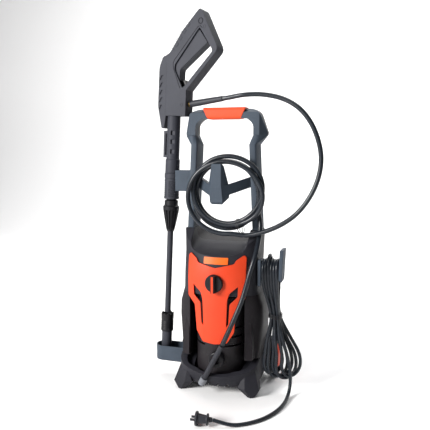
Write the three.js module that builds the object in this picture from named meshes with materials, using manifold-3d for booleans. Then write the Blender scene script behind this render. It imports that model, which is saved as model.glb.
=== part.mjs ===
// Upright electric pressure washer: body on two wheels, spray gun with lance stowed on the left,
// high-pressure hose on the front hook and mains cord on the side hook.
// Millimetres, +Z up, the control panel faces -Y.
import * as THREE from 'three';
import { mergeVertices } from 'three/addons/utils/BufferGeometryUtils.js';
import { ConvexGeometry } from 'three/addons/geometries/ConvexGeometry.js';
import Module from 'manifold-3d';

const wasm = await Module();
wasm.setup();

// ---------------------------------------------------------------- driving dimensions
const GAP = 0.3;                       // clearance between touching pieces
const LAYOUT_SHIFT = { x: 15.065, y: 10.985 };   // puts the middle of the footprint on the origin

const FLOOR_CLEARANCE = 25;            // underside of the base tray
const BASE_TOP = 88;
const BODY_TOP = 436;                  // joint between shoulders and uprights
const BODY_BACK = 52;
const SPLIT_Y = -20;                   // joint between front and rear shells
const WALL = 3.5;
const FRONT_RADIUS = 150;              // plan radius of the body front
const FRONT_Y = -110;                  // front of the body at mid height

const PANEL_THICK = 5;
const KNOB_Z = 304;
const KNOB_R = 24;

const WHEEL_R = 57;
const WHEEL_Y = 62;
const WHEEL_IN = 116;
const WHEEL_OUT = 139;
const AXLE_R = 5;

const SHOULDER_Z = 662;                // where the uprights start to flare into the handle
const UPRIGHT_TOP = 687;
const SPLAY = -0.047;                  // sideways run of the uprights per unit of height
const GRIP_TOP = 761;
const GRIP_BOTTOM = 729;
const LOOP_TOP = 757;
const LOOP_BAR_BOTTOM = 732;
const LOOP = { front: -27, split: -2, back: 14 };

const GUN = { x: -148.5, y: -7, z: 740, turn: -12, lean: 1.87, tip: -1.65 };   // degrees
const GUN_HALF = 18.5;                  // half thickness of the gun body
const GUN_CAVITY = 15.6;               // half depth of the hollow for the trigger
const TRIGGER_PIVOT = { u: 10, h: 100 };
const LOCK_PIVOT = { u: 38.5, h: 82 };

const HOSE_D = 12.5;
const CORD_D = 9;
const COIL = { x: 14, y: -56, z: 533, inner: 79, outer: 109, half: 16, stretch: 1.05 };
const HANK = { y: -46, half: 28 };

const MOTOR = { x: 0, y: -25 };
const PISTON_COUNT = 3;

// ---------------------------------------------------------------- materials
const finish = (colour, roughness, metalness = 0) =>
  new THREE.MeshStandardMaterial({ color: colour, roughness, metalness });
const charcoal = finish(0x3d4248, 0.55);
const brownBlack = finish(0x2b2727, 0.6);
const black = finish(0x17181a, 0.5);
const orange = finish(0xff5a2c, 0.45);
const labelOrange = finish(0xff9434, 0.4);
const gunGrey = finish(0x4a4d55, 0.55);
const rubberBlack = finish(0x15171a, 0.45);
const steel = finish(0xb8bcc0, 0.3, 1);
const brass = finish(0xb08d4a, 0.35, 1);
const copper = finish(0xa9683b, 0.4, 1);
const castAluminium = finish(0x9a9da0, 0.5, 1);
const innerGrey = finish(0x77797c, 0.6);

// ---------------------------------------------------------------- helpers
const group = new THREE.Group();
const layout = new THREE.Group();
layout.position.set(LAYOUT_SHIFT.x, LAYOUT_SHIFT.y, 0);
group.add(layout);
const gun = new THREE.Group();
gun.position.set(GUN.x, GUN.y, GUN.z);
gun.rotation.set(...[GUN.tip, GUN.lean, GUN.turn].map(THREE.MathUtils.degToRad), 'ZYX');
layout.add(gun);

const point = (x, y, z) => new THREE.Vector3(x, y, z);
// A place given along the gun (u across, v through, h up), in the layout.
const inGun = (u, v, h) => point(u, v, h).applyEuler(gun.rotation).add(gun.position);
const mirrored = (corners) => corners.map(([x, ...rest]) => [-x, ...rest]).reverse();

function solid(geometry) {
  const plain = geometry.clone();
  plain.deleteAttribute('normal');
  plain.deleteAttribute('uv');
  const merged = mergeVertices(plain, 1e-4);
  return new wasm.Manifold(new wasm.Mesh({
    numProp: 3,
    vertProperties: new Float32Array(merged.attributes.position.array),
    triVerts: new Uint32Array(merged.index.array),
  }));
}

function geometryOf(manifold) {
  const mesh = manifold.getMesh();
  const geometry = new THREE.BufferGeometry();
  geometry.setAttribute('position', new THREE.BufferAttribute(mesh.vertProperties, 3));
  geometry.setIndex(new THREE.BufferAttribute(mesh.triVerts, 1));
  return geometry;
}

function add(name, shape, material, parent = layout) {
  const geometry = shape.isBufferGeometry ? shape : geometryOf(shape);
  const mesh = new THREE.Mesh(geometry, material);
  mesh.name = name;
  parent.add(mesh);
}

// Closed outline from corners [a, b, radius]; a corner with no radius stays sharp.
function outline(corners) {
  const shape = new THREE.Shape();
  const count = corners.length;
  corners.forEach(([a, b, radius = 0], i) => {
    const corner = new THREE.Vector2(a, b);
    if (radius === 0) {
      if (i === 0) shape.moveTo(a, b);
      else shape.lineTo(a, b);
      return;
    }
    const [aBefore, bBefore] = corners[(i + count - 1) % count];
    const [aAfter, bAfter] = corners[(i + 1) % count];
    const before = new THREE.Vector2(aBefore, bBefore).sub(corner);
    const after = new THREE.Vector2(aAfter, bAfter).sub(corner);
    const start = before.setLength(radius).add(corner);
    const end = after.setLength(radius).add(corner);
    if (i === 0) shape.moveTo(start.x, start.y);
    else shape.lineTo(start.x, start.y);
    shape.quadraticCurveTo(a, b, end.x, end.y);
  });
  return shape;
}

const CURVE_STEPS = 4;
function extrude(shape, depth, steps = CURVE_STEPS) {
  return new THREE.ExtrudeGeometry(shape, { depth, bevelEnabled: false, curveSegments: steps });
}
// Outline in (x, y), standing from z0 to z1.
const alongZ = (shape, z0, z1, steps) => extrude(shape, z1 - z0, steps).translate(0, 0, z0);
// Outline in (x, z), running from y0 to y1.
const alongY = (shape, y0, y1, steps) =>
  extrude(shape, y1 - y0, steps).rotateX(Math.PI / 2).translate(0, y1, 0);
// Outline in (y, z), running from x0 to x1.
const CYCLE = new THREE.Matrix4().makeBasis(point(0, 1, 0), point(0, 0, 1), point(1, 0, 0));
const alongX = (shape, x0, x1, steps) =>
  extrude(shape, x1 - x0, steps).applyMatrix4(CYCLE).translate(x0, 0, 0);

function box(x0, x1, y0, y1, z0, z1) {
  return new THREE.BoxGeometry(x1 - x0, y1 - y0, z1 - z0)
    .translate((x0 + x1) / 2, (y0 + y1) / 2, (z0 + z1) / 2);
}

// Turned piece about +Z from a profile of [radius, height] that closes on the axis or on itself.
function turned(profile, sides = 24) {
  return new THREE.LatheGeometry(profile.map(([r, h]) => new THREE.Vector2(r, h)), sides)
    .rotateX(Math.PI / 2);
}
const rod = (radius, h0, h1, sides = 24) => turned([[0, h0], [radius, h0], [radius, h1], [0, h1]], sides);
const pipe = (inner, outer, h0, h1, sides = 24) =>
  turned([[inner, h0], [outer, h0], [outer, h1], [inner, h1], [inner, h0]], sides);
// Turned pieces stand along +Z; these lay them along +X or -Y.
const layX = (geometry) => geometry.rotateY(Math.PI / 2);
const layFront = (geometry) => geometry.rotateX(Math.PI / 2);

function shear(geometry, { xPerZ = 0, zPerY = 0 }) {
  return geometry.applyMatrix4(new THREE.Matrix4().set(
    1, 0, xPerZ, 0,
    0, 1, 0, 0,
    0, zPerY, 1, 0,
    0, 0, 0, 1,
  ));
}

const hull = (points) => new ConvexGeometry(points.map(([x, y, z]) => point(x, y, z)));

function joined(...shapes) {
  return shapes.map((shape) => (shape.isBufferGeometry ? solid(shape) : shape))
    .reduce((sum, shape) => sum.add(shape));
}
function cut(body, ...tools) {
  const start = body.isBufferGeometry ? solid(body) : body;
  return tools.map((tool) => (tool.isBufferGeometry ? solid(tool) : tool))
    .reduce((rest, tool) => rest.subtract(tool), start);
}
function common(a, b) {
  const first = a.isBufferGeometry ? solid(a) : a;
  return first.intersect(b.isBufferGeometry ? solid(b) : b);
}

// Plain tube of the cord's diameter along a smooth curve through the points.
function tube(points, diameter, steps, sides = 8) {
  const stops = points.map(([x, y, z]) => point(x, y, z));
  const curve = new THREE.CatmullRomCurve3(stops, false, 'centripetal');
  const section = new THREE.Shape();
  section.absarc(0, 0, diameter / 2, 0, Math.PI * 2);
  return new THREE.ExtrudeGeometry(section, { steps, extrudePath: curve, curveSegments: sides / 2 });
}

// Closed solid through rings of equal point counts, lowest ring first, each anticlockwise from above.
function loft(rings) {
  const count = rings[0].length;
  const positions = rings.flat().flatMap((p) => [p.x, p.y, p.z]);
  const indices = [];
  for (let level = 0; level < rings.length - 1; level += 1) {
    for (let i = 0; i < count; i += 1) {
      const a = level * count + i;
      const b = level * count + ((i + 1) % count);
      indices.push(a, b, b + count, a, b + count, a + count);
    }
  }
  const cap = (ring) => {
    const flat = ring.map((p) => new THREE.Vector2(p.x, p.y));
    return THREE.ShapeUtils.triangulateShape(flat, []);
  };
  const top = (rings.length - 1) * count;
  cap(rings[0]).forEach(([a, b, c]) => indices.push(a, c, b));
  cap(rings.at(-1)).forEach(([a, b, c]) => indices.push(top + a, top + b, top + c));
  const geometry = new THREE.BufferGeometry();
  geometry.setAttribute('position', new THREE.Float32BufferAttribute(positions, 3));
  geometry.setIndex(indices);
  return geometry;
}

// ---------------------------------------------------------------- body outline
const ARC_END = 72;                    // where the bowed front gives way to the corner
const BACK_CORNER = 30;

// Plan outline with a bowed front, at one height.
function planRing({ z, half, front, back }, inset = 0) {
  const w = half - inset;
  const yF = front + inset;
  const yB = back - inset;
  const bow = ARC_END ** 2 / (2 * FRONT_RADIUS);
  const yEnd = yF + bow;
  const slope = (2 * bow) / ARC_END;
  const corner = yEnd + (w - ARC_END) * slope;
  const shape = new THREE.Shape();
  shape.moveTo(-ARC_END, yEnd);
  shape.quadraticCurveTo(0, yEnd - 2 * bow, ARC_END, yEnd);
  shape.quadraticCurveTo(w, corner, w, corner + BACK_CORNER);
  shape.lineTo(w, yB - BACK_CORNER);
  shape.quadraticCurveTo(w, yB, w - BACK_CORNER, yB);
  shape.lineTo(BACK_CORNER - w, yB);
  shape.quadraticCurveTo(-w, yB, -w, yB - BACK_CORNER);
  shape.lineTo(-w, corner + BACK_CORNER);
  shape.quadraticCurveTo(-w, corner, -ARC_END, yEnd);
  const ring = shape.getPoints(5).map((p) => point(p.x, p.y, z));
  ring.pop();
  return ring;
}

const BODY_LEVELS = [
  { z: BASE_TOP + GAP, half: 109, front: FRONT_Y + 4, back: 74 },
  { z: 120, half: 112, front: FRONT_Y + 2, back: 70 },
  { z: 200, half: 117, front: FRONT_Y, back: 57 },
  { z: 236, half: 115.5, front: FRONT_Y, back: BODY_BACK },
  { z: 276, half: 102, front: FRONT_Y, back: BODY_BACK },
  { z: 312, half: 101, front: FRONT_Y, back: BODY_BACK },
  { z: 345, half: 101, front: FRONT_Y + 4, back: BODY_BACK },
  { z: 378, half: 102, front: FRONT_Y + 11, back: BODY_BACK },
  { z: BODY_TOP + 10, half: 105, front: FRONT_Y + 16, back: BODY_BACK },
];
const SKIRT_TOP = 268;                 // joint between side fairings and front housing
const RECESS_HALF = 76;                // half width of the opening for the ribbed grille
const GRILLE = { r: 68, y: -41, bottom: 52, top: 262 };

// Scoop between the shoulders: a nearly flat rear floor and a steeper visor in front of it.
function scoop(drop) {
  const fold = 398 - drop;
  const foldY = -50;
  const side = 78 + drop;
  const floor = (slope) => {
    const shape = outline([
      [-side, 520], [-side, fold, 26], [side, fold, 26], [side, 520],
    ]);
    return shear(alongY(shape, -170 - foldY, 90 - foldY, 5), { zPerY: slope }).translate(0, foldY, 0);
  };
  return joined(floor(0.14), floor(0.53));
}
// Everything above the shoulders' slopes.
function aboveShoulders(drop) {
  const shape = outline([
    [-170, 318 - drop], [-40, BODY_TOP - drop], [16, BODY_TOP - drop], [58, 398 - drop],
    [90, 398 - drop], [90, 520], [-170, 520],
  ]);
  return alongX(shape, -140, 140);
}
function bodyBlock(inset) {
  const rings = BODY_LEVELS.map((level) => planRing(level, inset));
  return cut(loft(rings), scoop(inset), aboveShoulders(inset));
}

const bodyShell = cut(
  cut(bodyBlock(0), bodyBlock(WALL)),
  box(-104, 104, -90, 66, BASE_TOP - 1, BASE_TOP + WALL + 1),
);

function buildHousings() {
  const switchHole = layFront(rod(5.4, -20, 20)).translate(0, FRONT_Y, KNOB_Z);
  const rear = common(bodyShell, box(-150, 150, SPLIT_Y + GAP / 2, 100, 0, 500));
  add('rear_housing', rear, brownBlack);

  const front = common(bodyShell, box(-150, 150, -200, SPLIT_Y - GAP / 2, 0, 500));
  const upper = common(front, box(-150, 150, -200, 0, SKIRT_TOP, 500));
  add('front_housing', cut(upper, switchHole), charcoal);

  [['left', -1], ['right', 1]].forEach(([side, sign]) => {
    const region = sign < 0 ? box(-150, -RECESS_HALF, -200, 0, 0, SKIRT_TOP - GAP)
      : box(RECESS_HALF, 150, -200, 0, 0, SKIRT_TOP - GAP);
    const skin = common(front, region);
    const inner = sign < 0 ? box(-RECESS_HALF - 3, -RECESS_HALF, -86, -24, BASE_TOP + 4, SKIRT_TOP - 1)
      : box(RECESS_HALF, RECESS_HALF + 3, -86, -24, BASE_TOP + 4, SKIRT_TOP - 1);
    const pillar = hull([
      [77, -97, 96], [97, -92, 96], [77, -93, 150], [95, -88, 160], [82, -84, 196], [92, -80, 200],
      [77, -80, 96], [100, -70, 96], [84, -74, 200], [97, -66, 200],
    ].map(([x, y, z]) => [sign * x, y, z]));
    add(`side_fairing_${side}`, joined(skin, inner, pillar), brownBlack);
  });
}

// ---------------------------------------------------------------- base tray
const FOOT = { x: 97, y: -98, r: 11, sides: 8 };
function buildBase() {
  const levels = [
    { z: FLOOR_CLEARANCE, half: 109, front: -117, back: 70 },
    { z: 40, half: 111, front: -124, back: 72 },
    { z: 56, half: 110.5, front: -129, back: 73 },
    { z: BASE_TOP, half: 109, front: -131, back: 74 },
  ];
  const block = loft(levels.map((level) => planRing(level)));
  const cavity = loft([
    planRing({ z: FLOOR_CLEARANCE - 1, half: 104, front: -111, back: 65 }),
    planRing({ z: 46, half: 104, front: -113, back: 66 }),
  ]);
  const above = BASE_TOP + 20;
  const ledge = alongX(outline([[-62, BASE_TOP], [-62, above], [-160, above], [-160, 40]]), -150, 150);
  const bowl = loft([
    planRing({ z: 50, half: 84, front: -113, back: -20 }),
    planRing({ z: above, half: 96, front: -124, back: -20 }),
  ]);
  const bowlFloor = alongX(outline([[-20, BASE_TOP - 2], [-20, above], [-160, above], [-160, 36]]), -90, 90);
  const well = alongZ(outline([
    [-GRILLE.r - 1, -24], [-GRILLE.r - 1, -118, 58], [GRILLE.r + 1, -118, 58], [GRILLE.r + 1, -24],
  ]), GRILLE.bottom - 2, BASE_TOP + 5, 6);
  const upperWell = box(-98, 98, -20, 60, 64, BASE_TOP + 5);
  const axleHole = layX(rod(AXLE_R + GAP, -150, 150)).translate(0, WHEEL_Y, WHEEL_R);
  let base = cut(block, cavity, ledge, common(solid(bowl), bowlFloor), well, upperWell);
  const bearing = box(-106, 106, WHEEL_Y - 11, WHEEL_Y + 8, WHEEL_R - 13, WHEEL_R + 14);
  base = base.add(solid(bearing));
  for (const sign of [-1, 1]) {
    const foot = hull([
      ...Array.from({ length: FOOT.sides }, (_, k) => {
        const angle = (k / FOOT.sides) * 2 * Math.PI;
        return [sign * FOOT.x + FOOT.r * Math.cos(angle), FOOT.y + FOOT.r * Math.sin(angle), 0];
      }),
      [sign * 119, -102, 20], [sign * 119, -84, 20], [sign * 62, -113, 26], [sign * 84, -118, 24],
      [sign * 108, -40, 26], [sign * 104, -86, 66], [sign * 80, -104, 60], [sign * 108, -46, 60],
      [sign * 70, -60, 27],
    ]);
    base = base.add(solid(foot));
  }
  const notches = [-42, -16, 10, 36]
    .map((x) => box(x - 3, x + 3, -140, -100, FLOOR_CLEARANCE - 2, FLOOR_CLEARANCE + 7));
  base = cut(base, ...notches, axleHole, alongOutlet(rod(9.5 + GAP, -16 - GAP, 60, 20)));
  add('base_frame', base, charcoal);
}

// ---------------------------------------------------------------- grille, panel, label, inserts
function buildFront() {
  const wallOutline = (r) => {
    const shape = new THREE.Shape();
    shape.moveTo(r, -28);
    shape.lineTo(-r, -28);
    shape.lineTo(-r, GRILLE.y);
    shape.absarc(0, GRILLE.y, r, Math.PI, 2 * Math.PI);
    return shape;
  };
  let grille = cut(
    alongZ(wallOutline(GRILLE.r), GRILLE.bottom, GRILLE.top, 14),
    alongZ(wallOutline(GRILLE.r - 3.5), GRILLE.bottom - 1, GRILLE.top + 1, 14),
    box(-60, 60, -35, 0, GRILLE.bottom - 1, GRILLE.top + 1),
  );
  const louvre = (from, to, z) => {
    const band = new THREE.Shape();
    const a0 = THREE.MathUtils.degToRad(from);
    const a1 = THREE.MathUtils.degToRad(to);
    band.absarc(0, GRILLE.y, GRILLE.r + 6, a0, a1);
    band.absarc(0, GRILLE.y, GRILLE.r - 8, a1, a0, true);
    return solid(alongZ(band, z - 2.6, z + 2.6, 4));
  };
  [[198, 222, 180], [318, 342, 180], [198, 264, 156], [280, 342, 156], [198, 244, 132], [290, 342, 132]]
    .forEach(([from, to, z]) => { grille = grille.subtract(louvre(from, to, z)); });
  grille = cut(grille, layFront(rod(17.5, 40, 140, 20)).translate(8, 0, 101));
  add('lower_grille', grille, black);

  const skin = (near, far) => {
    const rings = [130, 312, 345, 378, 400].map((z) => {
      const lean = BODY_LEVELS.find((level) => level.z >= z) ?? BODY_LEVELS.at(-1);
      const front = z <= 312 ? FRONT_Y : Math.min(lean.front, FRONT_Y + 14);
      const edge = 84;
      const bow = (x, y) => y + (x * x) / (2 * FRONT_RADIUS);
      const columns = Array.from({ length: 11 }, (_, k) => -edge + (2 * edge * k) / 10);
      const outer = columns.map((x) => point(x, bow(x, front - far), z));
      const inner = columns.map((x) => point(x, bow(x, front - near), z)).reverse();
      return [...outer, ...inner];
    });
    return loft(rings);
  };
  const panelHalf = [
    [0, 343], [49, 354, 4], [54, 364, 3], [73, 377, 4], [79, 371, 4], [78, 263, 3], [57, 241, 4],
    [51, 172, 3], [33, 143, 4], [0, 139],
  ];
  const panelShape = outline([...panelHalf, ...mirrored(panelHalf.slice(1, -1))]);
  const vent = [
    [61, 296, 1], [60, 268, 3], [40, 249, 4], [37, 195], [31, 187], [33.5, 258, 5], [39, 277, 5],
  ];
  const ventCut = (corners) => alongY(outline(corners), -140, -90);
  let panel = common(skin(GAP, PANEL_THICK + GAP), alongY(panelShape, -140, -80));
  const knobHole = layFront(rod(6, 90, 140)).translate(0, 0, KNOB_Z);
  panel = cut(panel, ventCut(vent), ventCut(mirrored(vent)), knobHole);
  add('front_panel', panel, orange);
  const labelShape = outline([[-33, 352, 2], [33, 352, 2], [33, 370, 2], [-33, 370, 2]]);
  add('label_plate', common(skin(GAP, 1.6), alongY(labelShape, -140, -80)), labelOrange);
}

// ---------------------------------------------------------------- switch
function buildSwitch() {
  const face = FRONT_Y - PANEL_THICK - GAP;
  const disc = layFront(turned([
    [0, 0], [4.6, 0], [4.6, 12.5], [KNOB_R, 12.5], [KNOB_R, 18], [KNOB_R - 2, 20], [0, 20],
  ], 36)).translate(0, face + 12, KNOB_Z);
  const fin = alongZ(outline([[-9, face - 7], [-5, face - 20], [5, face - 20], [9, face - 7]]), -22, 22)
    .translate(0, 0, KNOB_Z);
  const groove = box(-3.2, 3.2, face - 21, face - 18.4, KNOB_Z - 23, KNOB_Z + 23);
  const about = (radius) => layFront(rod(radius, 80, 150, 36)).translate(0, 0, KNOB_Z);
  add('switch_knob', cut(common(joined(disc, fin), about(KNOB_R)), groove), black);
  const pointer = box(-2.9, 2.9, face - 20.8, face - 18.7, KNOB_Z - 21, KNOB_Z + 21);
  add('knob_pointer', common(pointer, about(KNOB_R - 1.5)), orange);
  const body = box(-20, 20, FRONT_Y + 12, FRONT_Y + 38, KNOB_Z - 22, KNOB_Z + 22);
  const hole = layFront(rod(5, 60, 140)).translate(0, 0, KNOB_Z);
  add('rotary_switch', cut(body, hole), innerGrey);
}

// ---------------------------------------------------------------- uprights and handle
const SPIGOT = { x0: 83, x1: 89, y0: -16, y1: 8, top: 714 };
// Box about a spigot, grown all round, from height z0 to z1.
function spigotBox(sign, grow, z0, z1) {
  const middle = (sign * (SPIGOT.x0 + SPIGOT.x1)) / 2;
  const half = (SPIGOT.x1 - SPIGOT.x0) / 2 + grow;
  return box(middle - half, middle + half, SPIGOT.y0 - grow, SPIGOT.y1 + grow, z0, z1);
}
function buildUprights() {
  const corners = [[82, -38, 4], [100, -38, 5], [105, 15, 8], [79, 15, 5]];
  const neck = [[80, LOOP.front], [97, LOOP.front], [115, LOOP.split], [113, LOOP.back], [80, LOOP.back]];
  const run = SHOULDER_Z - BODY_TOP - GAP;
  [['left', -1], ['right', 1]].forEach(([side, sign]) => {
    const section = outline(sign > 0 ? corners : mirrored(corners));
    const column = shear(alongZ(section, 0, run), { xPerZ: sign * SPLAY }).translate(0, 0, BODY_TOP + GAP);
    const shoulder = hull([
      ...section.getPoints(CURVE_STEPS).map((p) => [p.x + sign * SPLAY * run, p.y, SHOULDER_Z]),
      ...neck.map(([x, y]) => [sign * x, y, UPRIGHT_TOP]),
    ]);
    add(`upright_${side}`, joined(column, shoulder, spigotBox(sign, 0, SHOULDER_Z, SPIGOT.top)), charcoal);
  });
}

function buildHandle() {
  const gripShape = (grow) => outline([
    [-60 - grow, GRIP_TOP + grow, 5], [-45 - grow, GRIP_BOTTOM - grow, 6],
    [45 + grow, GRIP_BOTTOM - grow, 6], [60 + grow, GRIP_TOP + grow, 5],
  ]);
  const half = [
    [113, UPRIGHT_TOP + GAP], [115, UPRIGHT_TOP + 5, 3], [104, 724, 10], [96, 746, 9], [78, LOOP_TOP, 12],
  ];
  const loopShape = outline([...half, ...mirrored(half)]);
  const hole = [[80, UPRIGHT_TOP - 10], [80, 716, 10], [62, LOOP_BAR_BOTTOM, 10]];
  const holeShape = outline([...hole, ...mirrored(hole)]);
  const pocket = (sign) => spigotBox(sign, GAP, UPRIGHT_TOP - 2, SPIGOT.top + GAP);
  const shellPart = (y0, y1) => cut(
    alongY(loopShape, y0, y1, 6), alongY(holeShape, y0 - 1, y1 + 1, 6), pocket(1), pocket(-1),
    alongY(gripShape(GAP), y0 - 20, y1 + 20),
  );
  const bar = (grow, length, y0, y1) => box(-length, length, y0, y1, 737 - grow, 753 + grow);
  const front = shellPart(LOOP.front, LOOP.split - GAP / 2);
  const rear = shellPart(LOOP.split + GAP / 2, LOOP.back);
  // The front shell's outer edges slope back from its narrow face.
  const slope = (sign) => hull([600, 800].flatMap((z) => [
    [sign * 97, LOOP.front, z], [sign * 115, LOOP.split, z], [sign * 130, LOOP.split, z],
    [sign * 130, LOOP.front - 4, z], [sign * 93.5, LOOP.front - 4, z],
  ]));
  const topSlope = alongX(outline([
    [LOOP.front - 4, 745], [LOOP.split, LOOP_TOP + 3], [LOOP.split, 800], [LOOP.front - 4, 800],
  ]), -150, 150);
  const frontLoop = cut(front, slope(1), slope(-1), topSlope)
    .add(solid(bar(0, 64, LOOP.front + 6, LOOP.split - GAP / 2)));
  add('handle_loop', frontLoop, charcoal);
  add('handle_rear_shell', rear.add(solid(bar(0, 64, LOOP.split + GAP / 2, LOOP.back - 6))), black);
  const roundBar = alongX(outline([
    [LOOP.front - 1, GRIP_BOTTOM, 10], [LOOP.front - 1, GRIP_TOP, 10],
    [LOOP.back + 1, GRIP_TOP, 12], [LOOP.back + 1, GRIP_BOTTOM, 12],
  ]), -70, 70, 5);
  const grip = common(roundBar, alongY(gripShape(0), -60, 60));
  add('handle_grip', cut(grip, bar(GAP, 80, LOOP.front + 6 - GAP, LOOP.back - 6 + GAP)), orange);
}

// The hose's turns as one ring, grown all round for the seat that clears it.
const coilRing = (grow) => layFront(
  pipe(COIL.inner - grow, COIL.outer + grow, -COIL.half - grow, COIL.half + grow, 32),
).scale(COIL.stretch, 1, 1).translate(COIL.x, COIL.y, COIL.z);

function buildHook() {
  const tongue = hull([
    [-12.5, -98, 613], [12.5, -98, 613], [-13, -98, 550], [13, -98, 550],
    [-17, -84, 606], [17, -84, 606], [-27, -76, 560], [27, -76, 560], [-27, -76, 552], [27, -76, 552],
    [-12, -84, 612], [12, -84, 612],
  ]);
  const hub = hull([
    [-13, -98, 558], [13, -98, 558], [-17, -97, 514], [17, -97, 514], [-14, -90, 508], [14, -90, 508],
    [-29, -72, 560], [29, -72, 560], [-27, -68, 524], [27, -68, 524], [-14, -68, 512], [14, -68, 512],
  ]);
  let hook = joined(tongue, hub);
  for (const sign of [-1, 1]) {
    const arm = hull([
      [sign * 16, -92, 556], [sign * 18, -90, 528], [sign * 14, -70, 556], [sign * 14, -70, 530],
      [sign * 75, -29, 578], [sign * 76, -29, 550], [sign * 75, -6, 578], [sign * 76, -6, 550],
      [sign * 60, -34, 570], [sign * 60, -34, 545],
    ]);
    hook = hook.add(solid(arm));
  }
  const face = (sign) => {
    const corners = [[81.6, -60], [140, -60], [140, 40], [78.6, 40]];
    return shear(alongZ(outline(sign > 0 ? corners : mirrored(corners)), -50, 230), { xPerZ: sign * SPLAY })
      .translate(0, 0, BODY_TOP);
  };
  add('hose_hook', cut(hook, face(1), face(-1), coilRing(GAP)), charcoal);
}

// ---------------------------------------------------------------- stowage brackets
function buildBrackets() {
  const seat = inGun(0, 0, -190);
  const grip = 23.6;
  const claw = new THREE.Shape();
  claw.absarc(0, 0, grip + 5, 0, 2.5);
  claw.absarc(0, 0, grip, 2.5, 0, true);
  const block = cut(box(17, 70, -18, 16, 535, 592), rod(grip, 530, 600));
  const clip = geometryOf(joined(block, alongZ(claw, 542, 585, 8))).translate(seat.x, seat.y, 0);
  const corners = [[70, -60], [98.3, -60], [107.8, 40], [70, 40]];
  const upright = shear(alongZ(outline(mirrored(corners)), 0, 250), { xPerZ: -SPLAY })
    .translate(0, 0, BODY_TOP);
  add('gun_clip', cut(clip, upright), charcoal);

  const tip = inGun(0, 0, -650);
  const cupShape = (inset) => {
    const r = 25 - inset;
    const shape = new THREE.Shape();
    const right = -112 - inset;
    shape.moveTo(right, tip.y + r);
    shape.lineTo(tip.x - 4, tip.y + r);
    shape.absarc(tip.x - 4, tip.y, r, Math.PI / 2, 1.5 * Math.PI);
    shape.lineTo(right, tip.y - r);
    return shape;
  };
  const cup = cut(alongZ(cupShape(0), 48, 90, 12), alongZ(cupShape(3), 52, 95, 12));
  add('lance_cup', cup, charcoal);

  const arm = joined(
    box(103, 164, HANK.y - 13, HANK.y + 13, 330, 350),
    box(103, 111, HANK.y - 15, HANK.y + 15, 290, 360),
    hull([
      [160, HANK.y - 24, 312], [168, HANK.y - 24, 306], [160, HANK.y + 24, 312], [168, HANK.y + 24, 306],
      [162, HANK.y - 24, 390], [172, HANK.y - 22, 392], [162, HANK.y + 24, 390], [172, HANK.y + 22, 392],
    ]),
  );
  add('cord_hook', arm, charcoal);
}

// ---------------------------------------------------------------- wheels
function buildWheels() {
  add('wheel_axle', layX(rod(AXLE_R, -139, 139)).translate(0, WHEEL_Y, WHEEL_R), steel);
  [['left', -1], ['right', 1]].forEach(([side, sign]) => {
    const width = WHEEL_OUT - WHEEL_IN;
    const profile = [
      [AXLE_R + GAP, 0], [WHEEL_R - 4, 0], [WHEEL_R, 4], [WHEEL_R, width - 4], [WHEEL_R - 4, width],
      [42, width], [39, width - 4], [AXLE_R + GAP, width - 4], [AXLE_R + GAP, 0],
    ];
    const wheel = layX(turned(profile, 32));
    const cap = layX(turned([
      [0, width - 4 + GAP], [33, width - 4 + GAP], [33, width], [26, width + 6], [0, width + 8],
    ], 24));
    const place = (geometry) => {
      if (sign < 0) geometry.rotateZ(Math.PI);
      return geometry.translate(sign * WHEEL_IN, WHEEL_Y, WHEEL_R);
    };
    add(`wheel_${side}`, place(wheel), rubberBlack);
    const bore = layX(rod(AXLE_R + GAP, -10, width + 3));
    const capBody = geometryOf(cut(cap, bore));
    add(`hub_cap_${side}`, place(capBody), orange);
  });
}

// ---------------------------------------------------------------- motor and pump
function buildDrive() {
  const at = (geometry) => geometry.translate(MOTOR.x, MOTOR.y, 0);
  const can = at(turned([
    [7, 178], [42, 178], [42, 300], [7, 300], [7, 296], [38, 296], [38, 182], [7, 182], [7, 178],
  ], 20));
  add('motor_body', can, steel);
  const rotor = at(turned([
    [0, 158], [5, 158], [5, 190], [27, 190], [27, 282], [5, 282], [5, 330], [0, 330],
  ], 16));
  add('motor_rotor', rotor, copper);
  const blades = Array.from({ length: 6 }, (_, k) =>
    box(8, 36, -1.2, 1.2, 305, 322).rotateZ((k / 6) * 2 * Math.PI));
  const fan = joined(pipe(5 + GAP, 11, 303, 326, 16), pipe(10, 38, 303, 306, 20), ...blades);
  add('motor_fan', at(geometryOf(fan)), black);
  const tilt = THREE.MathUtils.degToRad(8);
  const plate = rod(27, -3, 3, 20).rotateX(tilt).translate(0, 0, 168);
  add('wobble_plate', at(geometryOf(cut(plate, rod(5 + GAP, 100, 200)))), steel);

  const bores = Array.from({ length: PISTON_COUNT }, (_, k) => {
    const angle = (k / PISTON_COUNT) * 2 * Math.PI + Math.PI / 2;
    return [18 * Math.cos(angle), 18 * Math.sin(angle)];
  });
  const bore = bores.map(([x, y]) => rod(6 + GAP, 108, 150, 12).translate(x, y, 0));
  const block = joined(rod(33, 96, 142, 20), box(-20, 20, -60, -25, 100, 112));
  add('pump_body', at(geometryOf(cut(block, ...bore))), castAluminium);
  bores.forEach(([x, y], k) => {
    const piston = turned([[0, 123], [6, 123], [6, 156], [8, 156], [8, 161], [0, 161]], 12);
    add(`piston_${k + 1}`, at(piston.translate(x, y, 0)), steel);
  });
  add('run_capacitor', rod(16, 290, 345, 16).translate(58, 12, 0), innerGrey);
}

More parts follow.
